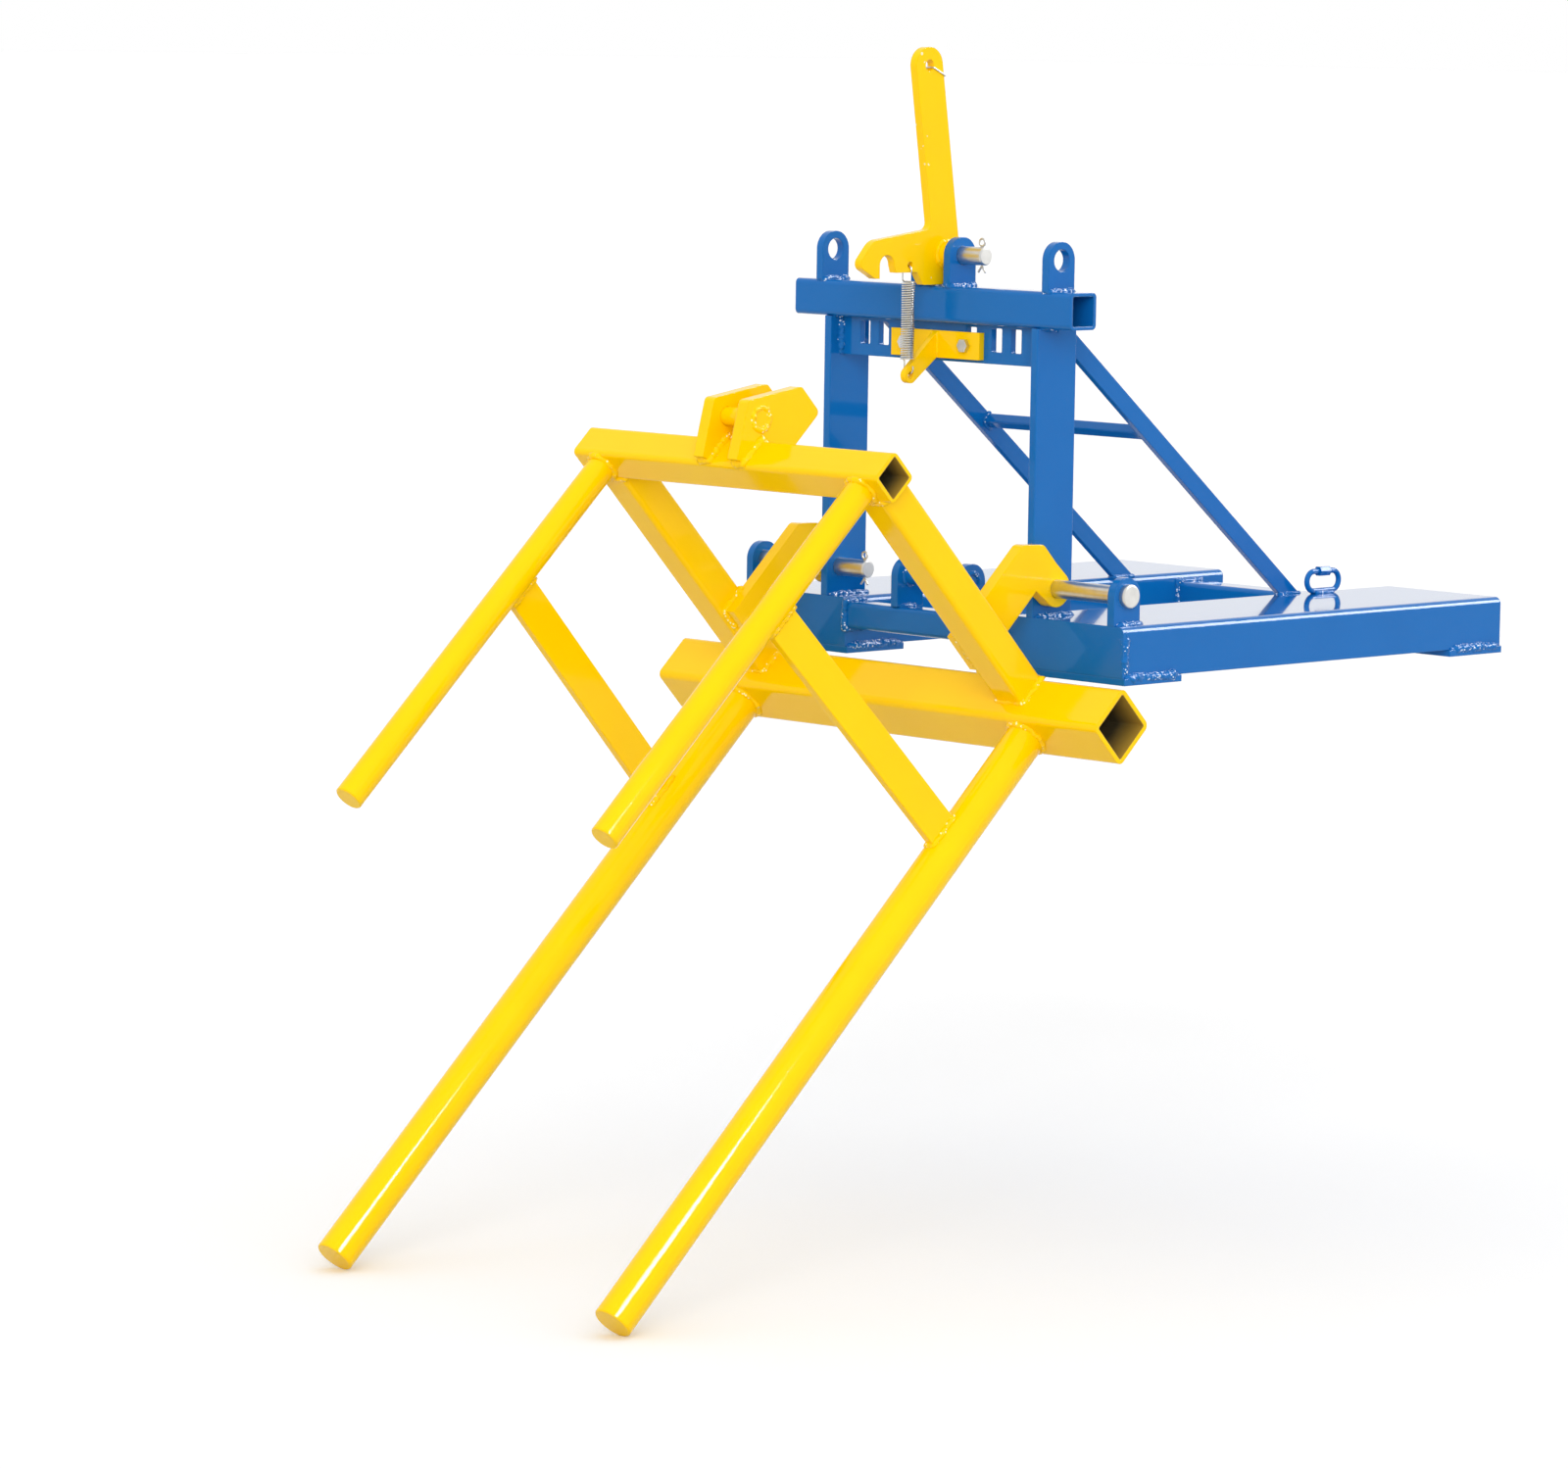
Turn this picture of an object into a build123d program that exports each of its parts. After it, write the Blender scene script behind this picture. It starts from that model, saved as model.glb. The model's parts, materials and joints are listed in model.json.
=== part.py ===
from build123d import *
from math import atan2, cos, degrees, hypot, pi, radians, sin, sqrt, tan
import os

# Fork-mounted drum positioner: a blue base with two fork pockets and an upright frame,
# a yellow tine frame that swings on two hinge pins, and a sprung hook that holds it level.
# Frame: origin midway between the mouths of the fork pockets, +Y towards the truck, +Z up.
# All sizes are in millimetres. Right is +X, as seen from the tines.

# Fork pockets, bent from plate, open below and at the rear
pocket_clear_width = 209.55
pocket_clear_height = 63.5
pocket_wall = 6.35
pocket_length = 790.0
pocket_spacing = 539.75
pocket_bend = 10.0
strap_length = 114.0
strap_thickness = 9.525
strap_overhang = 4.0

# Square tubes: outside sizes, walls, and the outside corner as a multiple of the wall
tube_corner_ratio = 1.5
front_tube_size = 38.1
rear_tube_size = 50.8
top_tube_size = 50.8
tie_tube_size = 15.875
light_wall = 1.65
frame_wall = 4.7625
heavy_wall = 6.35
front_tube_drop = 6.0
rear_tube_drop = 13.0
rear_tube_inset = 49.5
top_tube_length = 539.75

# Posts, braces and the slotted plate
bar_thickness = 12.7
bar_edge = 1.0
post_depth = 76.2
post_height = 396.0
post_outside = 419.1
brace_depth = 25.4
brace_thickness = 9.525
brace_run = 543.0
brace_top_inset = 8.0
brace_tie_run = 232.0
plate_thickness = 9.525
slotted_plate_height = 54.0
slot_width = 20.0
slot_height = 33.0
slot_top_web = 4.5
slot_corner = 2.0
slot_offsets = (62.0, 111.0, 148.5)

# Lugs
lug_width = 50.8
hinge_height = 40.0
hinge_lug_outside = 726.0
top_lug_height = 42.5
lifting_hole = 30.2
lifting_lug_inset = 42.0
latch_lug_gap = 50.8
centre_lug_spacing = 122.0
centre_lug_height = 43.0

# Round pins and their fits
pin_diameter = 25.4
pin_head_diameter = 33.0
pin_head_height = 9.0
pin_head_dome = 3.0
pin_chamfer = 2.0
hinge_pin_tail = 58.0
latch_pin_tail = 45.0
fixed_fit = 0.15
running_fit = 0.08
weld_gap = 0.1

# Split pins
cotter_wire = 3.0
cotter_hole_fit = 0.2
cotter_setback = 8.0
cotter_eye = 10.0
cotter_leg = 11.0
cotter_leg_drop = 0.8
cotter_spread = 38.0

# Tine frame, drawn level about its hinge axis and then tilted to its stored angle
rest_tilt = 43.6
frame_back = 134.6
upper_tube_size = 50.8
upper_tube_length = 596.9
upper_tube_height = 389.5
lower_tube_size = 76.2
lower_tube_length = 863.6
lower_tube_height = -66.0
upright_size = 50.8
upper_tine_diameter = 40.0
upper_tine_length = 622.3
lower_tine_diameter = 53.975
lower_tine_length = 1028.7
lower_tine_spacing = 562.0
tine_chamfer = 1.5
stop_bar_width = 50.8
stop_bar_reach = 381.0

# Hinge plates of the tine frame
hinge_plate_thickness = 19.05
hinge_side_gap = 2.0
hinge_boss_radius = 25.4
hinge_neck = 30.0
hinge_plate_back = 23.0
hinge_plate_height = 92.0
hinge_plate_bevel = 28.0
hinge_plate_setback = 7.0
hinge_plate_corner = 14.0
stop_gap = 1.6

# Catch clevis and its pin
catch_gap = 48.6
catch_plate_thickness = 19.05
catch_pin_reach = 116.0
catch_pin_height = 436.0
catch_crown = 35.0
catch_back_gap = 8.6
catch_rear_height = 50.0
catch_foot_setback = 7.2
catch_foot_rise = 13.0
catch_corner = 8.0

# Latch lever, cut from plate, with its hub and a wire ring in the handle
handle_lean = 8.66
handle_width = 50.8
handle_reach = 264.0
handle_hole = 16.0
hub_diameter = 38.1
hub_side_gap = 0.4
throat_clearance = 1.3
throat_flare = 3.5
throat_depth = 10.5
nose_width = 42.0
nose_top_width = 12.0
nose_tip_width = 8.0
nose_drop = 18.2
nose_round = 10.0
hook_crown = 20.3
hook_rise = 19.0
hook_shoulder_round = 28.0
heel_gap = 1.0
heel_back = 8.0
heel_slope = 12.0
heel_round = 4.0
heel_spring_gap = 0.9
handle_root_round = 10.0
ring_wire = 2.4
ring_gap = 0.5
ring_slope = 34.0

# Extension spring and its anchor
spring_outside = 19.6
spring_wire = 2.3
spring_pitch = 3.25
spring_reach = 68.0
spring_hole = 10.0
spring_hole_edge = 9.8
spring_seat = 0.25
spring_bend = 3.0
spring_leg = 9.0
spring_hook_end = 2.5
anchor_width = 173.0
anchor_height = 38.1
anchor_drop = 30.5
anchor_tip_drop = 73.0
anchor_tip_radius = 11.0
bolt_diameter = 9.525
bolt_fit = 0.5
bolt_offset = 3.5
bolt_across = 17.0
bolt_head_height = 6.4
bolt_nut_height = 8.0
bolt_tail = 3.0
washer_diameter = 26.0
washer_thickness = 2.0

# Quick link welded on the right pocket
link_rod = 8.0
link_length = 76.0
link_height = 36.0
link_setback = 167.0
link_inset = 28.5
link_gap = 6.0
sleeve_length = 22.0
sleeve_across = 13.0
sleeve_lap = 1.0

# Places worked out from the sizes above
pocket_width = pocket_clear_width + 2 * pocket_wall
pocket_x = pocket_spacing / 2
pocket_inner_x = pocket_x - pocket_width / 2
floor_z = -pocket_clear_height / 2
pocket_top = pocket_clear_height / 2 + pocket_wall
front_y = -pocket_length
hinge_y = front_y + lug_width / 2
hinge_z = pocket_top + hinge_height
post_top = pocket_top + post_height
post_inner_x = post_outside / 2 - bar_thickness
post_y = front_y + post_depth / 2
top_tube_y = front_y + top_tube_size / 2
top_tube_rear = front_y + top_tube_size
top_tube_top = post_top + top_tube_size
latch_y = top_tube_y
latch_z = top_tube_top + top_lug_height
latch_lug_outer = latch_lug_gap / 2 + bar_thickness
slotted_y = top_tube_y
anchor_y = slotted_y - plate_thickness
anchor_z = post_top - anchor_drop
hinge_plate_x = post_outside / 2 + hinge_side_gap
upright_x = hinge_plate_x + hinge_plate_thickness + upright_size / 2
pin_bore = pin_diameter + 2 * running_fit
pin_hole = pin_diameter + 2 * fixed_fit
weld_hole = pin_diameter + 2 * weld_gap
brace_top = top_tube_top - brace_top_inset
brace_slope = atan2(brace_top - pocket_top, brace_run)
hook_pin_y = hinge_y - latch_y - catch_pin_reach
hook_pin_z = hinge_z - latch_z + catch_pin_height
throat_radius = pin_diameter / 2 + throat_clearance
hook_under_z = hook_pin_z - throat_depth
hook_shoulder_z = hook_pin_z + throat_radius + hook_crown
spring_y = latch_y - spring_reach
spring_top_z = latch_z + hook_under_z + spring_hole_edge
spring_foot_z = post_top - anchor_tip_drop
spring_radius = (spring_outside - spring_wire) / 2

parts = {}


def add(name, shape, placed=Pos(0, 0, 0)):
    """Keeps one finished piece under its node name."""
    parts[name] = placed * shape


def add_pair(name, shape, placed=Pos(0, 0, 0)):
    """Keeps a right-hand piece and its mirror image."""
    add(name + "_right", shape, placed)
    add(name + "_left", mirror(shape, about=Plane.YZ), placed)


def square_tube(size, wall, length):
    """Square tube along Z, centred, with rolled corners and open ends."""
    corner = tube_corner_ratio * wall
    inside = size - 2 * wall
    section = RectangleRounded(size, size, corner) - RectangleRounded(inside, inside, corner - wall)
    return extrude(section, amount=length / 2, both=True)


def cross_tube(size, wall, length, y, z):
    """Square tube that lies along X."""
    return Pos(0, y, z) * Rot(0, 90, 0) * square_tube(size, wall, length)


def side_plate(sketch, thickness, x_inner):
    """Plate cut in the YZ plane, from x_inner outwards."""
    return extrude(Plane.YZ.offset(x_inner) * sketch, amount=thickness)


def along_y(sketch, y, length):
    """Solid with the sketch as its XZ outline, from y towards the truck."""
    return Pos(0, y, 0) * extrude(Plane.XZ * sketch, amount=-length)


def round_corner(face, corner, radius):
    """Rounds the corner of a flat outline that lies nearest to a point."""
    return fillet(face.vertices().sort_by_distance((*corner, 0))[0], radius)


def hexagon(across):
    """Hexagon by its width across flats."""
    return RegularPolygon(across / sqrt(3), 6)


def lug(hole_height, hole, x_inner, y, z):
    """Round-topped lug of flat bar with a cross hole."""
    outline = Pos(0, hole_height / 2) * Rectangle(lug_width, hole_height)
    outline += Pos(0, hole_height) * Circle(lug_width / 2)
    outline -= Pos(0, hole_height) * Circle(hole / 2)
    return Pos(0, y, z) * side_plate(outline, bar_thickness, x_inner)


def cross_pin(x_inner, x_outer):
    """Round pin along X with a chamfered, cross-drilled end and a domed head outside."""
    along_x = Rot(0, 90, 0)
    shank = Pos(x_inner, 0, 0) * along_x * extrude(Circle(pin_diameter / 2), amount=x_outer - x_inner)
    shank = chamfer(shank.edges().sort_by(Axis.X)[0], pin_chamfer)
    head = Pos(x_outer, 0, 0) * along_x * extrude(Circle(pin_head_diameter / 2), amount=pin_head_height)
    head = fillet(head.edges().sort_by(Axis.X)[-1], pin_head_dome)
    drill = Cylinder(cotter_wire / 2 + cotter_hole_fit, 2 * pin_diameter)
    return shank + head - Pos(x_inner + cotter_setback, 0, 0) * drill


def cotter(x):
    """Split pin through a vertical hole: an eye above, two spread legs below."""
    radius = cotter_wire / 2
    top = pin_diameter / 2 + radius
    bottom = -pin_diameter / 2 - cotter_leg_drop
    clip = Pos(0, 0, bottom) * extrude(Circle(radius), amount=top - bottom)
    clip += Pos(0, 0, top + cotter_eye / 2) * Rot(90, 0, 0) * Torus(cotter_eye / 2, radius)
    clip += Pos(0, 0, bottom) * Sphere(radius)
    for turn in (-cotter_spread, cotter_spread):
        clip += Pos(0, 0, bottom) * Rot(0, turn, 0) * extrude(Circle(radius), amount=-cotter_leg)
    return Pos(x, 0, 0) * clip


def pocket():
    """Inverted channel with a closed front, for one fork."""
    outer_height = pocket_clear_height + pocket_wall
    outer = Pos(0, outer_height / 2) * Rectangle(pocket_width, outer_height)
    outer = fillet(outer.vertices().group_by(Axis.Y)[-1], pocket_bend)
    inner = Pos(0, pocket_clear_height / 2) * Rectangle(pocket_clear_width, pocket_clear_height)
    inner = fillet(inner.vertices().group_by(Axis.Y)[-1], pocket_bend - pocket_wall)
    shell = extrude(Plane.XZ * outer, amount=pocket_length)
    shell -= extrude(Plane.XZ * inner, amount=pocket_length - pocket_wall)
    return Pos(pocket_x, 0, floor_z) * shell


def strap(y_front):
    """Flat strap welded under a pocket, from y_front towards the truck."""
    width = pocket_width + 2 * strap_overhang
    flat = extrude(RectangleRounded(width, strap_length, bar_edge), amount=-strap_thickness)
    return Pos(pocket_x, y_front + strap_length / 2, floor_z) * flat


def post():
    """Upright flat bar on a pocket, drilled for the hinge pin."""
    bar = extrude(RectangleRounded(bar_thickness, post_depth, bar_edge), amount=post_height)
    drill = Rot(0, 90, 0) * Cylinder(pin_hole / 2, 2 * bar_thickness)
    bar -= Pos(0, hinge_y - post_y, hinge_height) * drill
    return Pos(post_inner_x + bar_thickness / 2, post_y, pocket_top) * bar


def brace():
    """Sloping flat bar from the top tube's rear face to the pocket."""
    outline = Polyline(
        (top_tube_rear, brace_top),
        (top_tube_rear + brace_run, pocket_top),
        (top_tube_rear + brace_run - brace_depth / sin(brace_slope), pocket_top),
        (top_tube_rear, brace_top - brace_depth / cos(brace_slope)),
        close=True,
    )
    return side_plate(make_face(outline), brace_thickness, pocket_inner_x)


def brace_tie():
    """Small square tube between the two braces, turned to their slope and flush with them above."""
    drop = brace_tie_run * tan(brace_slope) + tie_tube_size / 2 / cos(brace_slope)
    tube = Rot(0, 90, 0) * square_tube(tie_tube_size, light_wall, 2 * pocket_inner_x)
    return Pos(0, top_tube_rear + brace_tie_run, brace_top - drop) * Rot(-degrees(brace_slope), 0, 0) * tube


def slot_places():
    """Slot centres along X, alike on both sides of the middle."""
    return [side * x for x in slot_offsets for side in (-1, 1)]


def slotted_plate():
    """Plate between the posts, with upright slots for the spring anchor."""
    sheet = Rectangle(2 * post_inner_x, slotted_plate_height)
    slot_z = slotted_plate_height / 2 - slot_top_web - slot_height / 2
    for x in slot_places():
        sheet -= Pos(x, slot_z) * RectangleRounded(slot_width, slot_height, slot_corner)
    plate = along_y(sheet, slotted_y - plate_thickness / 2, plate_thickness)
    return Pos(0, 0, post_top - slotted_plate_height / 2) * plate


def bolt_places():
    """X of the two anchor bolts, a little inside the middle of the inner slots."""
    half = slot_offsets[0] - bolt_offset
    return (-half, half)


def anchor_plate():
    """Flat bar bolted to the slotted plate."""
    sheet = RectangleRounded(anchor_width, anchor_height, bar_edge)
    for x in bolt_places():
        sheet -= Pos(x, 0) * Circle(bolt_diameter / 2 + bolt_fit)
    return Pos(0, 0, anchor_z) * along_y(sheet, anchor_y - plate_thickness / 2, plate_thickness)


def anchor_arm():
    """Arm welded to the anchor plate, with a round tip that holds the spring."""
    face_y = anchor_y - plate_thickness / 2
    half = anchor_height / 2 - bar_edge
    tip = Pos(spring_y + spring_bend, spring_foot_z)
    root = Line((face_y, anchor_z - half), (face_y, anchor_z + half))
    outline = make_hull((tip * Circle(anchor_tip_radius)).edges() + root.edges())
    outline -= tip * Circle(spring_hole / 2)
    return side_plate(outline, plate_thickness, -plate_thickness / 2)


def fasteners():
    """Anchor bolts, washers and nuts, as three groups of two solids."""
    head_y = anchor_y - plate_thickness / 2
    washer_y = slotted_y + plate_thickness / 2
    nut_y = washer_y + washer_thickness
    shank = nut_y + bolt_nut_height + bolt_tail - head_y
    bolt = along_y(hexagon(bolt_across), head_y - bolt_head_height, bolt_head_height)
    bolt += along_y(Circle(bolt_diameter / 2), head_y, shank)
    ring = Circle(washer_diameter / 2) - Circle(bolt_diameter / 2 + bolt_fit)
    nut = hexagon(bolt_across) - Circle(bolt_diameter / 2 + weld_gap)
    groups = {
        "anchor_bolts": bolt,
        "anchor_washers": along_y(ring, washer_y, washer_thickness),
        "anchor_nuts": along_y(nut, nut_y, bolt_nut_height),
    }
    for name, solid in groups.items():
        add(name, Compound([Pos(x, 0, anchor_z) * solid for x in bolt_places()]))


def link_place():
    """Centre of the quick link, which stands on the right pocket."""
    return Pos(pocket_inner_x + link_inset, -link_setback, pocket_top + link_height / 2)


def tube_along(edges, diameter):
    """Round wire along a chain of tangent edges."""
    section = Plane(origin=edges[0] @ 0, z_dir=edges[0] % 0) * Circle(diameter / 2)
    return sweep(section, path=Wire(edges))


def quick_link():
    """Oval rod link with a gap in its upper side."""
    radius = (link_height - link_rod) / 2
    half = (link_length - link_height) / 2
    gap_start = sleeve_lap - sleeve_length / 2
    edges = [
        Line((0, gap_start + link_gap, radius), (0, half, radius)),
        ThreePointArc((0, half, radius), (0, half + radius, 0), (0, half, -radius)),
        Line((0, half, -radius), (0, -half, -radius)),
        ThreePointArc((0, -half, -radius), (0, -half - radius, 0), (0, -half, radius)),
        Line((0, -half, radius), (0, gap_start, radius)),
    ]
    return link_place() * tube_along(edges, link_rod)


def link_sleeve():
    """Hexagonal sleeve nut that slides over the gap of the quick link."""
    section = hexagon(sleeve_across) - Circle(link_rod / 2 + running_fit)
    sleeve = along_y(section, -sleeve_length / 2, sleeve_length)
    return link_place() * Pos(0, 0, (link_height - link_rod) / 2) * sleeve


def base():
    """Pockets, upright frame, lugs, braces and pins: everything that stays with the truck."""
    add_pair("fork_pocket", pocket())
    add_pair("front_strap", strap(front_y))
    add_pair("rear_strap", strap(-strap_length))
    span = 2 * pocket_inner_x
    front_top = pocket_top - front_tube_drop
    front_tube_y = front_y + front_tube_size / 2
    front_tube_z = front_top - front_tube_size / 2
    add("front_tube", cross_tube(front_tube_size, frame_wall, span, front_tube_y, front_tube_z))
    rear_z = pocket_top - rear_tube_drop - rear_tube_size / 2
    rear_y = -rear_tube_inset - rear_tube_size / 2
    add("rear_tube", cross_tube(rear_tube_size, frame_wall, span, rear_y, rear_z))
    add_pair("post", post())
    top_tube_z = post_top + top_tube_size / 2
    add("top_tube", cross_tube(top_tube_size, frame_wall, top_tube_length, top_tube_y, top_tube_z))
    add("slotted_plate", slotted_plate())
    add_pair("brace", brace())
    add("brace_tie", brace_tie())
    hinge_lug_x = hinge_lug_outside / 2 - bar_thickness
    add_pair("hinge_lug", lug(hinge_height, pin_hole, hinge_lug_x, hinge_y, pocket_top))
    lifting_x = top_tube_length / 2 - lifting_lug_inset - bar_thickness
    add_pair("lifting_lug", lug(top_lug_height, lifting_hole, lifting_x, top_tube_y, top_tube_top))
    add_pair("latch_lug", lug(top_lug_height, pin_hole, latch_lug_gap / 2, latch_y, top_tube_top))
    centre_x = centre_lug_spacing / 2 - bar_thickness / 2
    add_pair("centre_lug", lug(centre_lug_height, weld_hole, centre_x, hinge_y, front_top))
    bar = Rot(0, 90, 0) * Cylinder(pin_diameter / 2, centre_lug_spacing + bar_thickness)
    add("centre_bar", Pos(0, hinge_y, front_top + centre_lug_height) * bar)
    on_hinge = Pos(0, hinge_y, hinge_z)
    hinge_pin_end = post_inner_x - hinge_pin_tail
    add_pair("hinge_pin", cross_pin(hinge_pin_end, hinge_lug_outside / 2), on_hinge)
    add_pair("hinge_cotter", cotter(hinge_pin_end + cotter_setback), on_hinge)
    on_latch = Pos(0, latch_y, latch_z)
    latch_pin_end = latch_lug_outer + latch_pin_tail
    add("latch_pin", mirror(cross_pin(-latch_pin_end, latch_lug_outer), about=Plane.YZ), on_latch)
    add("latch_cotter", cotter(latch_pin_end - cotter_setback), on_latch)
    add("anchor_plate", anchor_plate())
    add("anchor_arm", anchor_arm())
    fasteners()
    add("quick_link", quick_link())
    add("link_sleeve", link_sleeve())


def hinge_plate():
    """Plate of the tine frame: a boss on the hinge pin and a web welded to the upright."""
    front = frame_back + upright_size - hinge_plate_setback
    under = lug_width / 2 + stop_gap
    bevel_low = (hinge_plate_back, hinge_plate_height - hinge_plate_bevel)
    bevel_high = (hinge_plate_back - hinge_plate_bevel, hinge_plate_height)
    outline = Polyline(
        (-front, under),
        (-hinge_neck, under),
        (-hinge_boss_radius, 0),
        (hinge_boss_radius, 0),
        (hinge_plate_back, under),
        bevel_low,
        bevel_high,
        (-front, hinge_plate_height),
        close=True,
    )
    outline = make_face(outline)
    outline = round_corner(outline, bevel_low, hinge_plate_corner)
    outline = round_corner(outline, bevel_high, hinge_plate_corner)
    outline += Circle(hinge_boss_radius)
    outline -= Circle(pin_bore / 2)
    return side_plate(outline, hinge_plate_thickness, hinge_plate_x)


def catch_plate():
    """One plate of the clevis on the upper tube that carries the catch pin."""
    tube_top = upper_tube_height + upper_tube_size / 2
    back = top_tube_size / 2 + catch_back_gap
    low = tube_top - catch_rear_height
    crown = (-catch_pin_reach, catch_pin_height + catch_crown)
    front = frame_back + upper_tube_size
    outline = Polyline(
        (-front + catch_foot_setback, tube_top),
        (-front, tube_top + catch_foot_rise),
        crown,
        (-back, tube_top),
        (-back, low),
        (-frame_back, low),
        (-frame_back, tube_top),
        close=True,
    )
    outline = make_face(outline)
    for corner in (crown, (-back, tube_top), (-back, low)):
        outline = round_corner(outline, corner, catch_corner)
    outline -= Pos(-catch_pin_reach, catch_pin_height) * Circle(weld_hole / 2)
    return side_plate(outline, catch_plate_thickness, catch_gap / 2)


def tine(diameter, length, x, height, tube_size):
    """Round bar that stands out from a cross tube's front face."""
    bar = extrude(Circle(diameter / 2), amount=length)
    bar = chamfer(bar.edges().sort_by(Axis.Z)[-1], tine_chamfer)
    return Pos(x, -frame_back - tube_size, height) * Rot(90, 0, 0) * bar


def stop_bar(upper_x, lower_x):
    """Flat bar between an upper and a lower tine, notched to both."""
    rise = upper_tube_height - lower_tube_height
    lean = degrees(atan2(upper_x - lower_x, rise))
    section = RectangleRounded(bar_thickness, stop_bar_width, bar_edge)
    bar = extrude(section, amount=hypot(upper_x - lower_x, rise))
    bar = Pos(lower_x, -stop_bar_reach - stop_bar_width / 2, lower_tube_height) * Rot(0, lean, 0) * bar
    for x, height, diameter in (
        (upper_x, upper_tube_height, upper_tine_diameter),
        (lower_x, lower_tube_height, lower_tine_diameter),
    ):
        tine_space = Rot(90, 0, 0) * Cylinder(diameter / 2 + weld_gap, 4 * stop_bar_reach)
        bar -= Pos(x, 0, height) * tine_space
    return bar


def tine_frame():
    """Every piece that swings on the hinge pins, tilted to the stored angle."""
    placed = Pos(0, hinge_y, hinge_z) * Rot(rest_tilt, 0, 0)
    upper_y = -frame_back - upper_tube_size / 2
    lower_y = -frame_back - lower_tube_size / 2
    upper_tube = cross_tube(upper_tube_size, frame_wall, upper_tube_length, upper_y, upper_tube_height)
    lower_tube = cross_tube(lower_tube_size, heavy_wall, lower_tube_length, lower_y, lower_tube_height)
    add("upper_tube", upper_tube, placed)
    add("lower_tube", lower_tube, placed)
    low = lower_tube_height + lower_tube_size / 2
    high = upper_tube_height - upper_tube_size / 2
    upright = square_tube(upright_size, frame_wall, high - low)
    add_pair("upright", Pos(upright_x, -frame_back - upright_size / 2, (low + high) / 2) * upright, placed)
    lower_x = lower_tine_spacing / 2
    upper_tine = tine(upper_tine_diameter, upper_tine_length, upright_x, upper_tube_height, upper_tube_size)
    lower_tine = tine(lower_tine_diameter, lower_tine_length, lower_x, lower_tube_height, lower_tube_size)
    add_pair("upper_tine", upper_tine, placed)
    add_pair("lower_tine", lower_tine, placed)
    add_pair("stop_bar", stop_bar(upright_x, lower_x), placed)
    add_pair("hinge_plate", hinge_plate(), placed)
    add_pair("catch_plate", catch_plate(), placed)
    catch_pin = Rot(0, 90, 0) * Cylinder(pin_diameter / 2, catch_gap + 2 * catch_plate_thickness)
    add("catch_pin", Pos(0, -catch_pin_reach, catch_pin_height) * catch_pin, placed)


def hook_outline():
    """Hook and heel of the lever, about the latch pin, with the throat for the level catch pin."""
    wall_y = hook_pin_y - throat_radius
    mouth_y = hook_pin_y + throat_radius + throat_flare
    tip_z = hook_pin_z - nose_drop
    heel_z = heel_gap - top_lug_height
    heel_start = spring_outside / 2 + heel_spring_gap - spring_reach
    shoulder = (wall_y - nose_top_width, hook_shoulder_z)
    nose = (wall_y - nose_width, hook_pin_z)
    heel = [(heel_start, hook_under_z), (heel_start + heel_slope, heel_z), (-heel_back, heel_z)]
    outline = Polyline(
        (0, hook_shoulder_z + hook_rise),
        shoulder,
        nose,
        (wall_y - nose_tip_width, tip_z),
        (wall_y, tip_z),
        (mouth_y, hook_under_z),
        *heel,
        (handle_width / 2, 0),
        close=True,
    )
    outline = make_face(outline)
    outline = round_corner(outline, shoulder, hook_shoulder_round)
    outline = round_corner(outline, nose, nose_round)
    for corner in heel:
        outline = round_corner(outline, corner, heel_round)
    mouth = Polyline(
        (wall_y, hook_pin_z),
        (wall_y, tip_z),
        (mouth_y, tip_z),
        (mouth_y, hook_under_z),
        (hook_pin_y + throat_radius, hook_pin_z),
        close=True,
    )
    return outline - make_face(mouth) - Pos(hook_pin_y, hook_pin_z) * Circle(throat_radius)


def lever():
    """Hook and handle cut from one plate."""
    grip = Pos(0, handle_reach / 2) * Rectangle(handle_width, handle_reach)
    grip += Circle(handle_width / 2) + Pos(0, handle_reach) * Circle(handle_width / 2)
    grip -= Pos(0, handle_reach) * Circle(handle_hole / 2)
    outline = hook_outline() + Rot(0, 0, handle_lean) * grip
    outline = round_corner(outline, (-handle_width / 2, hook_shoulder_z + hook_rise), handle_root_round)
    outline -= Circle(hub_diameter / 2 + weld_gap)
    outline -= Pos(-spring_reach - spring_bend, spring_top_z - latch_z) * Circle(spring_hole / 2)
    return side_plate(outline, bar_thickness, -bar_thickness / 2)


def hub():
    """Tube through the lever that turns on the latch pin."""
    section = Circle(hub_diameter / 2) - Circle(pin_bore / 2)
    return Rot(0, 90, 0) * extrude(section, amount=latch_lug_gap / 2 - hub_side_gap, both=True)


def handle_ring():
    """Wire ring through the handle's hole and round its rear edge."""
    half_wire = ring_wire / 2
    slope = radians(ring_slope)
    inner = handle_hole / 2 - half_wire - ring_gap
    outer = handle_width / 2 / cos(slope) + half_wire * tan(slope) + ring_gap + half_wire
    height = bar_thickness + ring_wire + 2 * ring_gap
    lean = radians(handle_lean)
    heading = Vector(0, cos(lean - slope), sin(lean - slope))
    hole = Vector(0, -handle_reach * sin(lean), handle_reach * cos(lean))
    place = Plane(origin=hole, x_dir=heading, z_dir=heading.cross(Vector(1, 0, 0)))
    loop = RectangleRounded(outer - inner, height, ring_wire).wire()
    return tube_along((place * Pos((inner + outer) / 2, 0, 0) * loop).edges(), ring_wire)


def helix_point(turn, base_z):
    """Point on the spring's coil after so many turns."""
    angle = 2 * pi * turn
    return Vector(spring_radius * cos(angle), spring_radius * sin(angle), base_z + spring_pitch * turn)


def helix_heading(turn):
    """Direction of the wire at that point."""
    angle = 2 * pi * turn
    around = 2 * pi * spring_radius
    return Vector(-around * sin(angle), around * cos(angle), spring_pitch).normalized()


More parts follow.
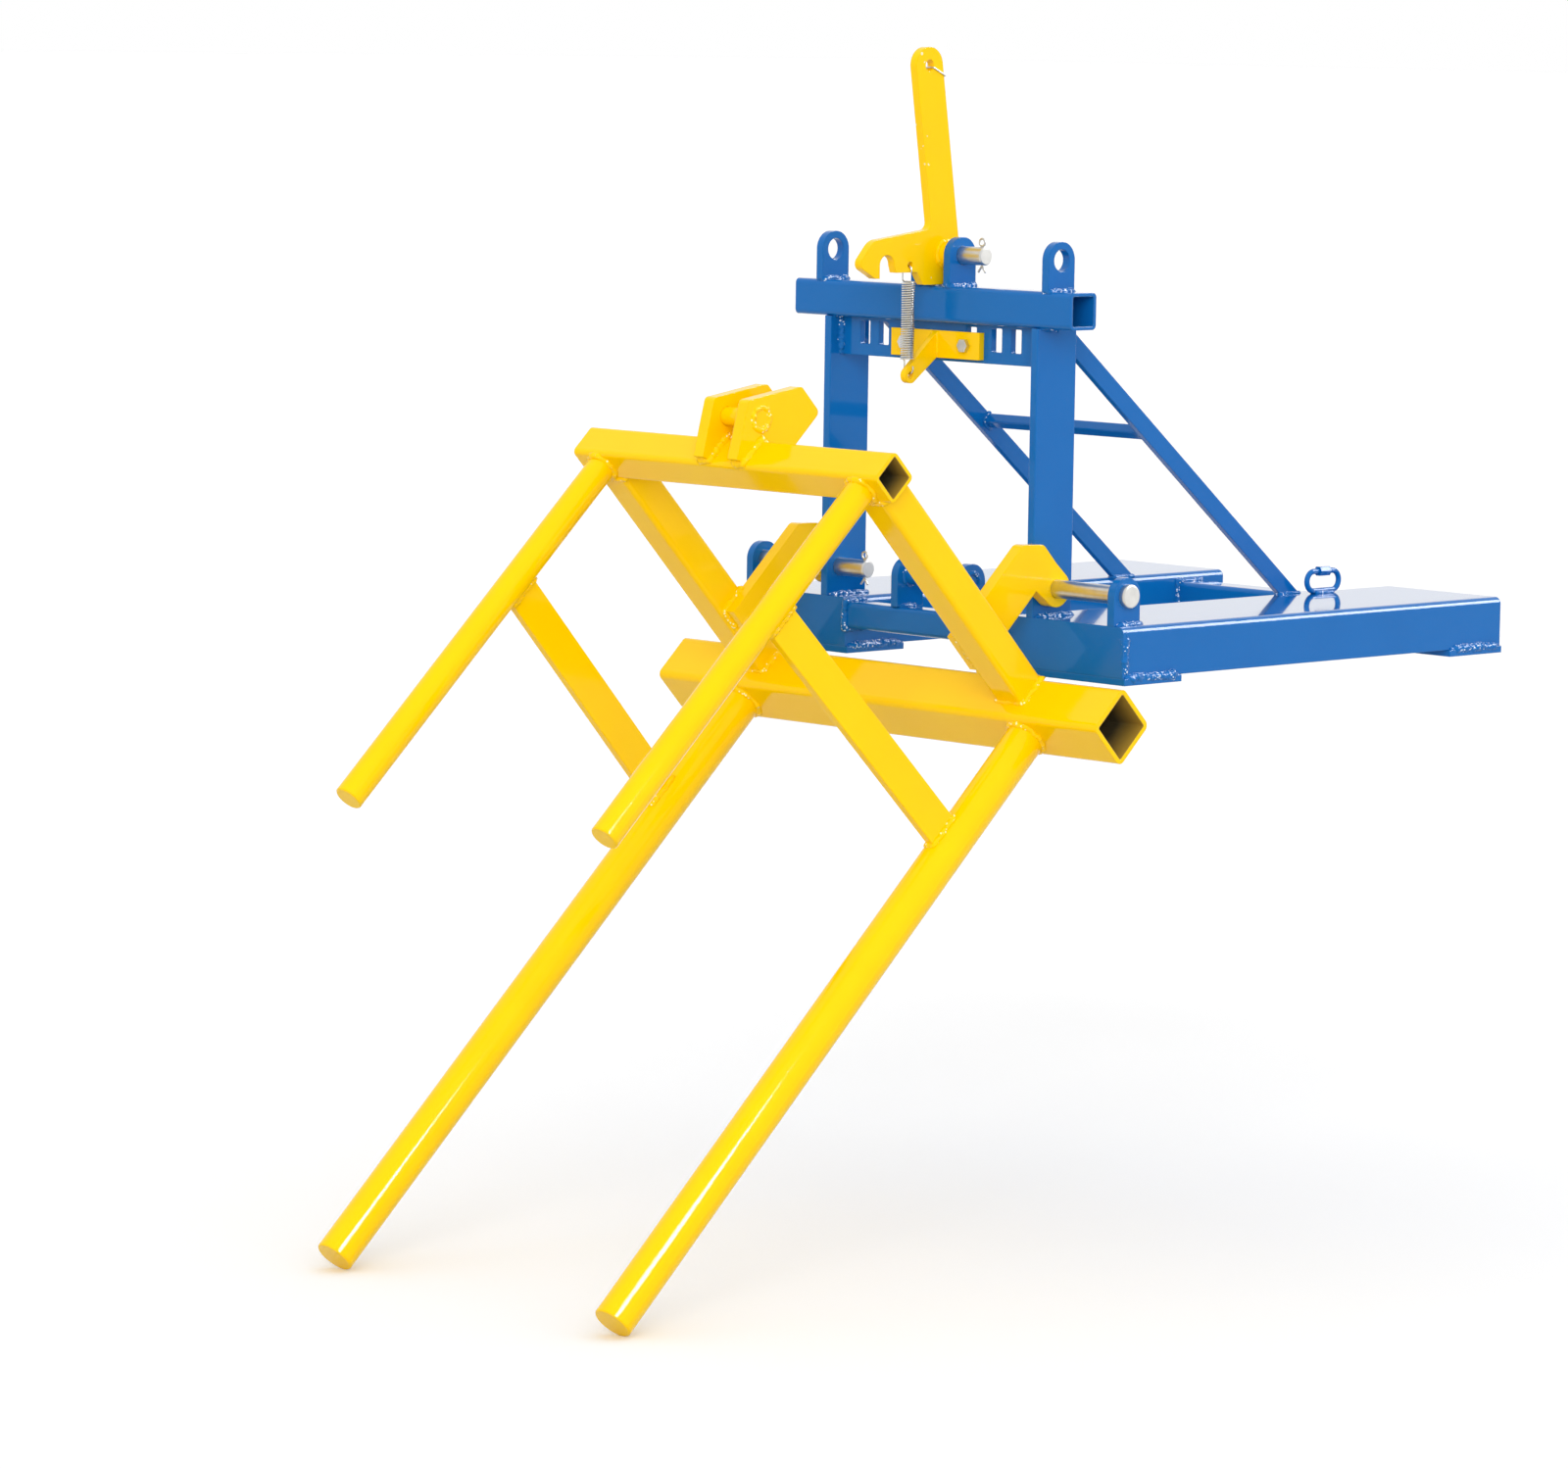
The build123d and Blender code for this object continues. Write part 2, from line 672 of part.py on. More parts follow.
def biarc(start, heading_in, finish, heading_out):
    """Two tangent arcs that leave start and reach finish along the given headings."""
    chord = finish - start
    spread = 2 * (1 - heading_in.dot(heading_out))
    along = chord.dot(heading_in + heading_out)
    reach = (sqrt(along * along + spread * chord.dot(chord)) - along) / spread
    knee_in = start + heading_in * reach
    knee_out = finish - heading_out * reach
    middle = (knee_in + knee_out) * 0.5
    heading = (knee_out - knee_in).normalized()
    return [TangentArc(start, middle, tangent=heading_in), TangentArc(middle, finish, tangent=heading)]


def hook_offset(thickness):
    """From the middle of a spring hole to the middle of the hook that bears on its edges."""
    inside = spring_radius - spring_wire / 2 - spring_seat
    return spring_hole / 2 + sqrt(inside**2 - thickness**2 / 4)


def spring_path():
    """Centre line of the spring about its own axis: a hook, the coil and a second hook."""
    radius = spring_radius
    bend = spring_bend
    low = spring_foot_z + hook_offset(plate_thickness)
    high = spring_top_z - hook_offset(bar_thickness)
    first = low + spring_leg + bend
    turns = int((high - spring_leg - bend - first) / spring_pitch)
    last = first + turns * spring_pitch
    up = Vector(0, 0, 1)
    edges = [
        Line((-radius, -bend, low + spring_hook_end), (-radius, -bend, low)),
        ThreePointArc((-radius, -bend, low), (0, -bend, low - radius), (radius, -bend, low)),
        Line((radius, -bend, low), (radius, -bend, first - bend)),
    ]
    edges += biarc(Vector(radius, -bend, first - bend), up, helix_point(0, first), helix_heading(0))
    for half in range(2 * turns):
        start, finish = half / 2, (half + 1) / 2
        edges += biarc(
            helix_point(start, first), helix_heading(start), helix_point(finish, first), helix_heading(finish)
        )
    edges += biarc(helix_point(turns, first), helix_heading(turns), Vector(radius, bend, last + bend), up)
    edges += [
        Line((radius, bend, last + bend), (radius, bend, high)),
        ThreePointArc((radius, bend, high), (0, bend, high + radius), (-radius, bend, high)),
        Line((-radius, bend, high), (-radius, bend, high - spring_hook_end)),
    ]
    return edges


def least_gap(edges, wire):
    """Least gap between one stretch of the wire and another, measured on points."""
    steps = 6
    points = [edge @ (n / steps) for edge in edges for n in range(steps)]
    apart = 3 * steps
    gaps = [(points[i] - points[j]).length for i in range(len(points)) for j in range(i + apart, len(points))]
    return min(gaps) - wire


def spring():
    """Extension spring between the lever and its anchor."""
    edges = spring_path()
    print("spring: least gap between turns", round(least_gap(edges, spring_wire), 3), "mm")
    return Pos(0, spring_y, 0) * Rot(0, 0, 180) * tube_along(edges, spring_wire)


def latch():
    """The hook that holds the tine frame level, and its spring."""
    placed = Pos(0, latch_y, latch_z)
    add("latch_lever", lever(), placed)
    add("latch_hub", hub(), placed)
    add("handle_ring", handle_ring(), placed)
    add("latch_spring", spring())


base()
tine_frame()
latch()
os.makedirs("parts", exist_ok=True)
for node, piece in parts.items():
    export_step(piece, os.path.join("parts", node + ".step"))
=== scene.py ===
"""Looks of a fork-mounted drum positioner: enamelled steel, weld beads, plated pins and a wound spring."""

import json
import math

import bpy
from mathutils import Matrix, Vector, noise


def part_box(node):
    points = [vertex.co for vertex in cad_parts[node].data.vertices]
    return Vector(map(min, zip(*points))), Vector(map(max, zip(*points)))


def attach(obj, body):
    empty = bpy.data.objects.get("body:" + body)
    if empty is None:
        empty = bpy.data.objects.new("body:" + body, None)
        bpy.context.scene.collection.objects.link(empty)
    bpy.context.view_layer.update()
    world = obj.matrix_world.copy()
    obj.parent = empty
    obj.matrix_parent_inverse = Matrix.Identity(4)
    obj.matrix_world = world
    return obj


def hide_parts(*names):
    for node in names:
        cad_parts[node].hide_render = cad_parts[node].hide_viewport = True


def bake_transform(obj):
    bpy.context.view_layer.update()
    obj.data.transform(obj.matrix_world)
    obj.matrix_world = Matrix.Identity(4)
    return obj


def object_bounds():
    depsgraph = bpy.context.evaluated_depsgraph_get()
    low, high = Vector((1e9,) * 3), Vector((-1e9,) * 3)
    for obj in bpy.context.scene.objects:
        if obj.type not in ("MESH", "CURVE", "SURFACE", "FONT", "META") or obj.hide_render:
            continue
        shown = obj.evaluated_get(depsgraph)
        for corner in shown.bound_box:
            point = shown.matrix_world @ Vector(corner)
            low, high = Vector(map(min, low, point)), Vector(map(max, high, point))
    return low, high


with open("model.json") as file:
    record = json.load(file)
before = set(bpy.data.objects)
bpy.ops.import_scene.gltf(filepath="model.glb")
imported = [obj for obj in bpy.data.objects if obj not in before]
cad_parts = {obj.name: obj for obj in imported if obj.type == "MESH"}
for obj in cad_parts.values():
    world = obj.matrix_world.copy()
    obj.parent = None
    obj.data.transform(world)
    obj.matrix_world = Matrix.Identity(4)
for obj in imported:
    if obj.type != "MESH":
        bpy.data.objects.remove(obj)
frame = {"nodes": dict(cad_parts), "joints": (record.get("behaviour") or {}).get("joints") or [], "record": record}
cad_box = [list(corner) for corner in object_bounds()]

MM = 0.001

# Camera, solved on the object's straight edges in a frame this many pixels wide
IMAGE_WIDTH = 1600
FOCAL_PIXELS = 6383.0
SENSOR_WIDTH = 36.0
CAMERA_AZIMUTH = 46.32
CAMERA_ELEVATION = 6.50
CAMERA_ROLL = 0.85
CAMERA_DISTANCE = 8.743
AIM_POINT = Vector((-0.1281, -0.9354, -0.1438))
SIGHT_LIMIT = 1000.0

# Floor, out to the horizon: how it looks, and the darker tone in which it throws light back up
FLOOR_SIZE = 400.0
FLOOR = "#FAFAFA"
FLOOR_BOUNCE = "#CACACA"

# Surroundings of about strength 1, dimmer on one side
WHITE = (1, 1, 1, 1)
DIM_SIDE = Vector((-0.69, -0.72, 0.0))
DIM_LEVEL = 0.78
BRIGHT_LEVEL = 1.16

# Broad key lamp, left out of reflections: where from, strength and width in degrees
KEY_FROM = Vector((0.62, -0.68, 0.32))
KEY_STRENGTH = 1.35
KEY_WIDTH = 38.0

# Lamp that only gloss shows, from behind along the pockets' edges
REAR_GLEAM_FROM = Vector((0.495, 0.687, 0.532))
REAR_GLEAM_STRENGTH = 4.5
REAR_GLEAM_WIDTH = 30.0

# Panel that draws the bright line on the lower tines, for gloss alone: direction, size, beam in degrees
PANEL_FROM = Vector((0.72, -0.08, 0.69))
PANEL_DISTANCE = 2.0
PANEL_WIDTH = 0.48
PANEL_LENGTH = 0.55
PANEL_WATTS = 7.0
PANEL_SPREAD = 55.0
# Share of the tines' slope upward from their tips, where less than 0 is beyond them
PANEL_PLACE = -0.12

# Enamel: colours where the film is thin and where it is deep, clear coat and gloss
BLUE = "#0C6AB6"
BLUE_DEEP = "#0864AE"
BLUE_COAT = 1.0
YELLOW = "#FFD200"
YELLOW_DEEP = "#FFC900"
YELLOW_COAT = 0.35
# Real enamel is nearer 1.5, but in white surroundings a lower index keeps the colour deep
ENAMEL_IOR = 1.2
ENAMEL_ROUGHNESS = (0.07, 0.13)
COAT_ROUGHNESS = 0.04

# Enamel's surface: width of the film's clouds, orange peel, and the round of a painted edge
FILM_CLOUD = 90 * MM
PEEL_SIZE = 8 * MM
PEEL_HEIGHT = 0.3 * MM
PEEL_STRENGTH = 0.015
PAINT_EDGE = 2.0 * MM

# Flecks in enamel: spacing, size as a share of it, level of the noise above which they show, and colour
CHIPS = (10 * MM, 0.22, 0.60, "#F3EAC8")
# Painted glints: pale flecks on the weld beads that stand for their highlights
BLUE_PAINTED_GLINTS = (4.5 * MM, 0.31, 0.52, "#CFE1F3")
YELLOW_PAINTED_GLINTS = (4.5 * MM, 0.31, 0.54, "#FFF7C0")
FLECKS_IN_PATCH = 4

# Plated and drawn metal: colour, roughness, grain size along X, Y and Z, stains and the round of an edge
ZINC = "#DAD9D5"
ZINC_ROUGHNESS = (0.27, 0.42)
ZINC_GRAIN = (0.6 * MM, 20 * MM, 20 * MM)
SPRING_GREY = "#DCDCD7"
SPRING_ROUGHNESS = (0.16, 0.30)
SPRING_GRAIN = (4 * MM, 4 * MM, 4 * MM)
STAIN_SIZE = 12 * MM
STAIN_SHADE = 0.8
GRAIN_HEIGHT = 0.1 * MM
GRAIN_STRENGTH = 0.08
METAL_EDGE = 0.5 * MM

# Mill scale in the bare tubes, dark enough to be painted shade deep inside them as well, and how far the overspray
# reaches in as a share of the tube's length
SCALE_AND_SHADE_LIGHT = "#716749"
SCALE_AND_SHADE_DARK = "#332E22"
OVERSPRAY = "#C09A38"
SCALE_CLOUD = 18 * MM
SCALE_ROUGHNESS = 0.6
SCALE_METALLIC = 0.3
MOUTH_SHARE = 0.055

# Weld beads: radius of each kind, step between rings, and how far a sunken bead stands out of a corner
BEAD = 5.0 * MM
SMALL_BEAD = 3.4 * MM
WIDE_BEAD = 6.5 * MM
BEAD_STEP = 1.5 * MM
BEAD_SIDES = 12
CORNER_PROUD = 2.5 * MM
LINK_BEAD_RISE = SMALL_BEAD / 3

# Hand welding, in shares of a bead's radius: ripples, swells, lumps and lean ends. Its path wanders too.
LEAN_SHARE = 0.88
RIPPLE_SHARE = 0.16
RIPPLE_LENGTH = 5.0 * MM
SWELL_SHARE = 0.20
SWELL_LENGTH = 14 * MM
LUMP_SHARE = 0.45
LUMP_LENGTH = 6.0 * MM
END_SHARE = 0.45
END_RISE = 0.35
WANDER = 0.8 * MM
WANDER_LENGTH = 9 * MM
WANDER_SEED = 7

# Sizes that the beads and linings share with the steel
FLAT_BAR = 12.7 * MM
TIE_TUBE = 15.875 * MM
TUBE_WALLS = {"upper_tube": 4.7625 * MM, "lower_tube": 6.35 * MM, "top_tube": 4.7625 * MM}
POCKET_WALL = 6.35 * MM

# How near to a plane a point counts as on it, and how deep in a wall the hidden part of a bead is put
ON_PLANE = 0.1 * MM
BEAD_COVER = 0.5 * MM

# Linings of the open tubes: gap to the wall, thickness and the round of the corners
LINING_GAP = 0.15 * MM
LINING_THICKNESS = 0.35 * MM
LINING_CORNER = 2.4 * MM

# Spring wire, as wound.
SPRING_WIRE = 2.3 * MM
SPRING_PITCH = 3.25 * MM
SPRING_LEG = 9.0 * MM
SPRING_BEND = 3.0 * MM
SPRING_HOOK_END = 2.5 * MM

# Steps of the round forms
RING_STEPS = 36
CORNER_STEPS = 5
WIRE_SIDES = 12
TURN_STEPS = 28
HOOK_STEPS = 16
BEND_STEPS = 8


def linear(hex_colour):
    """sRGB hex value to linear RGBA."""
    channels = [int(hex_colour[i : i + 2], 16) / 255 for i in (1, 3, 5)]
    return [c / 12.92 if c <= 0.04045 else ((c + 0.055) / 1.055) ** 2.4 for c in channels] + [1.0]


def node(tree, kind, links=(), values=(), **fields):
    """Adds a shader node, sets its fields and its sockets' values, and links other nodes' outputs to it."""
    made = tree.nodes.new(kind)
    for name, value in fields.items():
        setattr(made, name, value)
    for socket, value in dict(values).items():
        made.inputs[socket].default_value = value
    for socket, source in dict(links).items():
        tree.links.new(source, made.inputs[socket])
    return made


def new_material(name):
    """A material with an empty node tree, and that tree."""
    material = bpy.data.materials.new(name)
    material.use_nodes = True
    material.node_tree.nodes.clear()
    return material, material.node_tree


def flecked(tree, place, paint, flecks):
    """Paint with round flecks of another colour, in patches: chips of wear, and painted glints on welds."""
    spacing, share, level, colour = flecks
    patch_scale = 1 / (FLECKS_IN_PATCH * spacing)
    specks = node(tree, "ShaderNodeTexVoronoi", {"Vector": place}, {"Scale": 1 / spacing})
    where = node(tree, "ShaderNodeTexNoise", {"Vector": place}, {"Scale": patch_scale, "Detail": 4.0})
    near = node(tree, "ShaderNodeMath", {0: specks.outputs["Distance"]}, {1: share}, operation="LESS_THAN")
    patch = node(tree, "ShaderNodeMath", {0: where.outputs["Fac"]}, {1: level}, operation="GREATER_THAN")
    both = node(tree, "ShaderNodeMath", {0: near.outputs[0], 1: patch.outputs[0]}, operation="MULTIPLY")
    links = {"Factor": both.outputs[0], "A": paint}
    return node(tree, "ShaderNodeMix", links, {"B": linear(colour)}, data_type="RGBA").outputs["Result"]


def enamel(name, colour, deep, coat, flecks=None):
    """Sprayed gloss enamel on steel: a wet look with faint orange peel, soft edges and an uneven film.

    Flecks are chips where it is knocked. On a weld they are painted glints, pale flecks standing for the
    highlights of its fine ripples, which are too small to show and are drawn as coarse as they need to be.
    """
    material, tree = new_material(name)
    place = node(tree, "ShaderNodeTexCoord").outputs["Object"]
    film = node(tree, "ShaderNodeTexNoise", {"Vector": place}, {"Scale": 1 / FILM_CLOUD, "Detail": 3.0})
    film = film.outputs["Fac"]
    tones = {"A": linear(deep), "B": linear(colour)}
    paint = node(tree, "ShaderNodeMix", {"Factor": film}, tones, data_type="RGBA").outputs["Result"]
    if flecks:
        paint = flecked(tree, place, paint, flecks)
    peel = node(tree, "ShaderNodeTexNoise", {"Vector": place}, {"Scale": 1 / PEEL_SIZE, "Detail": 1.0})
    edge = node(tree, "ShaderNodeBevel", values={"Radius": PAINT_EDGE}, samples=6)
    bump = node(
        tree,
        "ShaderNodeBump",
        {"Height": peel.outputs["Fac"], "Normal": edge.outputs["Normal"]},
        {"Strength": PEEL_STRENGTH, "Distance": PEEL_HEIGHT},
    )
    low, high = ENAMEL_ROUGHNESS
    gloss = node(tree, "ShaderNodeMapRange", {"Value": film}, {"To Min": low, "To Max": high})
    shader = node(
        tree,
        "ShaderNodeBsdfPrincipled",
        {
            "Base Color": paint,
            "Roughness": gloss.outputs["Result"],
            "Normal": bump.outputs["Normal"],
            "Coat Normal": bump.outputs["Normal"],
        },
        {"IOR": ENAMEL_IOR, "Coat Weight": coat, "Coat Roughness": COAT_ROUGHNESS, "Coat IOR": ENAMEL_IOR},
    )
    node(tree, "ShaderNodeOutputMaterial", {"Surface": shader.outputs["BSDF"]})
    return material


def metal(name, colour, roughness, grain):
    """Plated or drawn steel: a bright metal, faintly stained, with fine lines from turning or drawing."""
    material, tree = new_material(name)
    place = node(tree, "ShaderNodeTexCoord").outputs["Object"]
    stretch = node(tree, "ShaderNodeMapping", {"Vector": place}, {"Scale": [1 / size for size in grain]})
    along = {"Vector": stretch.outputs["Vector"]}
    lines = node(tree, "ShaderNodeTexNoise", along, {"Scale": 1.0, "Detail": 4.0}).outputs["Fac"]
    stain = node(tree, "ShaderNodeTexNoise", {"Vector": place}, {"Scale": 1 / STAIN_SIZE, "Detail": 3.0})
    darker = [STAIN_SHADE * c for c in linear(colour)[:3]] + [1.0]
    tones = {"A": darker, "B": linear(colour)}
    tint = node(tree, "ShaderNodeMix", {"Factor": stain.outputs["Fac"]}, tones, data_type="RGBA")
    low, high = roughness
    rough = node(tree, "ShaderNodeMapRange", {"Value": lines}, {"To Min": low, "To Max": high})
    edge = node(tree, "ShaderNodeBevel", values={"Radius": METAL_EDGE}, samples=4)
    bump = node(
        tree,
        "ShaderNodeBump",
        {"Height": lines, "Normal": edge.outputs["Normal"]},
        {"Strength": GRAIN_STRENGTH, "Distance": GRAIN_HEIGHT},
    )
    shader = node(
        tree,
        "ShaderNodeBsdfPrincipled",
        {
            "Base Color": tint.outputs["Result"],
            "Roughness": rough.outputs["Result"],
            "Normal": bump.outputs["Normal"],
        },
        {"Metallic": 1.0},
    )
    node(tree, "ShaderNodeOutputMaterial", {"Surface": shader.outputs["BSDF"]})
    return material


def mill_scale_and_shade(name):
    """Bare inside of a tube: dull brown scale, dark enough to be painted shade deep inside as well, and yellow
    overspray that fades inward from the mouths.
    """
    material, tree = new_material(name)
    places = node(tree, "ShaderNodeTexCoord").outputs
    look = {"Scale": 1 / SCALE_CLOUD, "Detail": 6.0}
    cloud = node(tree, "ShaderNodeTexNoise", {"Vector": places["Object"]}, look)
    # Scale tones, dark so that they also stand for painted shade deep in the tube
    tones = {"A": linear(SCALE_AND_SHADE_DARK), "B": linear(SCALE_AND_SHADE_LIGHT)}
    scale = node(tree, "ShaderNodeMix", {"Factor": cloud.outputs["Fac"]}, tones, data_type="RGBA")
    along = node(tree, "ShaderNodeSeparateXYZ", {0: places["Generated"]})
    middle = node(tree, "ShaderNodeMath", {0: along.outputs["X"]}, {1: 0.5}, operation="SUBTRACT")
    away = node(tree, "ShaderNodeMath", {0: middle.outputs[0]}, operation="ABSOLUTE")
    reach = {"From Min": 0.5 - MOUTH_SHARE, "From Max": 0.5}
    mouth = node(tree, "ShaderNodeMapRange", {"Value": away.outputs[0]}, reach)
    links = {"Factor": mouth.outputs["Result"], "A": scale.outputs["Result"]}
    tone = node(tree, "ShaderNodeMix", links, {"B": linear(OVERSPRAY)}, data_type="RGBA")
    shader = node(
        tree,
        "ShaderNodeBsdfPrincipled",
        {"Base Color": tone.outputs["Result"]},
        {"Roughness": SCALE_ROUGHNESS, "Metallic": SCALE_METALLIC},
    )
    node(tree, "ShaderNodeOutputMaterial", {"Surface": shader.outputs["BSDF"]})
    return material


# Base: deep wet blue, with soft pale reflections
blue_enamel = enamel("blue_enamel", BLUE, BLUE_DEEP, BLUE_COAT)
# Tine frame and spring anchor: warm safety yellow, with a thinner shine
yellow_enamel = enamel("yellow_enamel", YELLOW, YELLOW_DEEP, YELLOW_COAT)
# Lever, which is handled and knocked: the same yellow with small pale chips
chipped_enamel = enamel("chipped_yellow_enamel", YELLOW, YELLOW_DEEP, YELLOW_COAT, CHIPS)
# Welds: the same paints, broken up by painted glints, pale flecks that stand for the bead's highlights
weld_enamel_with_painted_glints = {
    "blue_paint": enamel("blue_enamel_with_painted_glints", BLUE, BLUE_DEEP, BLUE_COAT, BLUE_PAINTED_GLINTS),
    "yellow_paint": enamel("yellow_enamel_with_painted_glints", YELLOW, YELLOW_DEEP, YELLOW_COAT, YELLOW_PAINTED_GLINTS),
}
# Pins, bolts and ring: silvery plate, a little hazy, that takes up the colours around it
zinc_plate = metal("bright_zinc_plate", ZINC, ZINC_ROUGHNESS, ZINC_GRAIN)
# Spring: bare bright wire, whose turns read as light and dark stripes
spring_wire = metal("drawn_spring_wire", SPRING_GREY, SPRING_ROUGHNESS, SPRING_GRAIN)
# Inside of the yellow tubes: dull brown scale, darkened as painted shade so that the mouths look deep
tube_inside = mill_scale_and_shade("mill_scale_and_painted_shade")
slot_finish = {
    "blue_paint": blue_enamel,
    "yellow_paint": yellow_enamel,
    "zinc": zinc_plate,
    "spring_steel": spring_wire,
}


def dress_frame():
    """Gives every CAD node the finish of its record slot, and the handled lever its chipped paint."""
    for subpart in frame["record"]["subparts"]:
        mesh = frame["nodes"][subpart["node"]].data
        mesh.materials.clear()
        mesh.materials.append(slot_finish[subpart["material_slot"]])
    frame["nodes"]["latch_lever"].data.materials[0] = chipped_enamel


def piece(name, finish, verts, faces, smooth=True):
    """A new mesh piece with its finish."""
    mesh = bpy.data.meshes.new(name)
    mesh.from_pydata(verts, [], faces)
    mesh.polygons.foreach_set("use_smooth", [smooth] * len(mesh.polygons))
    mesh.materials.append(finish)
    made = bpy.data.objects.new(name, mesh)
    bpy.context.scene.collection.objects.link(made)
    return made


def sweep(path, radii, sides, closed, verts, faces):
    """Adds a round tube along a path, its ring carried on without twist, to lists of points and faces."""
    count = len(path)
    first = len(verts)
    across = None
    for i, centre in enumerate(path):
        ahead = path[(i + 1) % count] if closed or i < count - 1 else centre
        behind = path[i - 1] if closed or i else centre
        heading = (ahead - behind).normalized()
        if across is None:
            across = heading.orthogonal()
        across = (across - across.dot(heading) * heading).normalized()
        up = heading.cross(across)
        for k in range(sides):
            angle = 2 * math.pi * k / sides
            verts.append(centre + radii[i] * (math.cos(angle) * across + math.sin(angle) * up))
    turn = 0
    if closed:
        gaps = [(verts[first + k] - verts[-sides]).length for k in range(sides)]
        turn = gaps.index(min(gaps))
    for i in range(count if closed else count - 1):
        here = first + i * sides
        after = first + (i + 1) % count * sides
        shift = turn if i == count - 1 else 0
        for k in range(sides):
            step = (k + 1) % sides
            over = after + (k + shift) % sides
            over_step = after + (step + shift) % sides
            faces.append((here + k, here + step, over_step, over))
    if not closed:
        faces.append(tuple(first + k for k in reversed(range(sides))))
        faces.append(tuple(first + (count - 1) * sides + k for k in range(sides)))


def spaced(points, step, closed):
    """The same line with a point about every step."""
    ends = points + points[:1] if closed else points
    out = []
    for start, end in zip(ends, ends[1:]):
        count = max(1, round((end - start).length / step))
        out += [start.lerp(end, n / count) for n in range(count)]
    return out if closed else out + [ends[-1]]


def tube_hollow(name, box):
    """Inside of a tube that lies along X, a little into its wall and open at both ends."""
    low, high = box
    inside = Vector((-1.0, 1.0, 1.0)) * (TUBE_WALLS[name] - BEAD_COVER)
    inside.x = -(high.x - low.x)
    return low + inside, high - inside


def pocket_hollow(side):
    """Inside of a fork pocket, a little into its wall and open below and at the rear."""
    low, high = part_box("fork_pocket_" + side)
    inside = POCKET_WALL - BEAD_COVER
    below = Vector((inside, inside, low.z - high.z))
    above = Vector((inside, low.y - high.y, inside))
    return low + below, high - above


def kept_in_wall(point, hollows):
    """The point, moved into the nearest wall where it would show inside a tube or a pocket."""
    for low, high in hollows:
        depths = [(point[axis] - low[axis], axis, low[axis]) for axis in range(3)]
        depths += [(high[axis] - point[axis], axis, high[axis]) for axis in range(3)]
        depth, axis, wall = min(depths)
        if depth > 0:
            point[axis] = wall
    return point


def bead(points, radius, closed, verts, faces):
    """Adds a weld bead to lists of points and faces: rippled, lumpy, and drawn out at open ends."""
    path = spaced(points, BEAD_STEP, closed)
    count = len(path)
    first = len(verts)
    radii = []
    for i, point in enumerate(path):
        ripple = abs(math.sin(math.pi * i * BEAD_STEP / RIPPLE_LENGTH))
        swell = noise.noise(point / SWELL_LENGTH)
        end = min(i, count - 1 - i) * BEAD_STEP / radius
        taper = 1.0 if closed else min(1.0, END_SHARE + END_RISE * end)
        radii.append(radius * taper * (LEAN_SHARE + RIPPLE_SHARE * ripple + SWELL_SHARE * swell))
    path = [point + WANDER * noise.noise_vector(point / WANDER_LENGTH) for point in path]
    sweep(path, radii, BEAD_SIDES, closed, verts, faces)
    for i in range(first, len(verts)):
        out = verts[i] - path[(i - first) // BEAD_SIDES]
        verts[i] = verts[i] + LUMP_SHARE * noise.noise(verts[i] / LUMP_LENGTH) * out


def weld(name, body, slot, runs, hollows=(), swing=Matrix.Identity(4)):
    """Weld beads of one body as one piece, kept out of hollows and then swung to where the body rests."""
    verts, faces = [], []
    for points, radius, closed in runs:
        bead(points, radius, closed, verts, faces)
    verts = [swing @ kept_in_wall(point, hollows) for point in verts]
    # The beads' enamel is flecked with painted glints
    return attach(piece(name, weld_enamel_with_painted_glints[slot], verts, faces), body)


def plane_box(name, axis, value):
    """Lowest and highest corner of those points of a node that lie on a plane."""
    near = [v.co for v in frame["nodes"][name].data.vertices if abs(v.co[axis] - value) < ON_PLANE]
    return Vector(map(min, zip(*near))), Vector(map(max, zip(*near)))


def loop(low, high, axis, inset=0.0):
    """Corners of a box's section square to an axis, at its low end, drawn in along the second direction."""
    first, second = [a for a in range(3) if a != axis]
    corners = []
    for use in ((0, 0), (1, 0), (1, 1), (0, 1)):
        point = low.copy()
        point[first] = (low, high)[use[0]][first]
        point[second] = (low[second] + inset, high[second] - inset)[use[1]]
        corners.append(point)
    return corners


def ring(centre, radius, axis):
    """Circle round an axis."""
    first, second = [a for a in range(3) if a != axis]
    points = []
    for n in range(RING_STEPS):
        point = centre.copy()
        point[first] += radius * math.cos(2 * math.pi * n / RING_STEPS)
        point[second] += radius * math.sin(2 * math.pi * n / RING_STEPS)
        points.append(point)
    return points


def lug_welds():
    """Fillets round the feet of the lugs and posts. Where a foot is flush in front, they leave that out."""
    runs = []
    tube_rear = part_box("front_tube")[1].y
    for side in ("left", "right"):
        for name in ("lifting_lug_", "latch_lug_"):
            low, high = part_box(name + side)
            runs.append((loop(low, high, 2, BEAD), BEAD, True))
        for name, rear in (("hinge_lug_", None), ("post_", None), ("centre_lug_", tube_rear - BEAD)):
            low, high = plane_box(name + side, 2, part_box(name + side)[0].z)
            high.y = rear or high.y
            front = low.y + BEAD
            path = [(low.x, front), (low.x, high.y), (high.x, high.y), (high.x, front)]
            runs.append(([Vector((x, y, low.z)) for x, y in path], BEAD, False))
    return runs


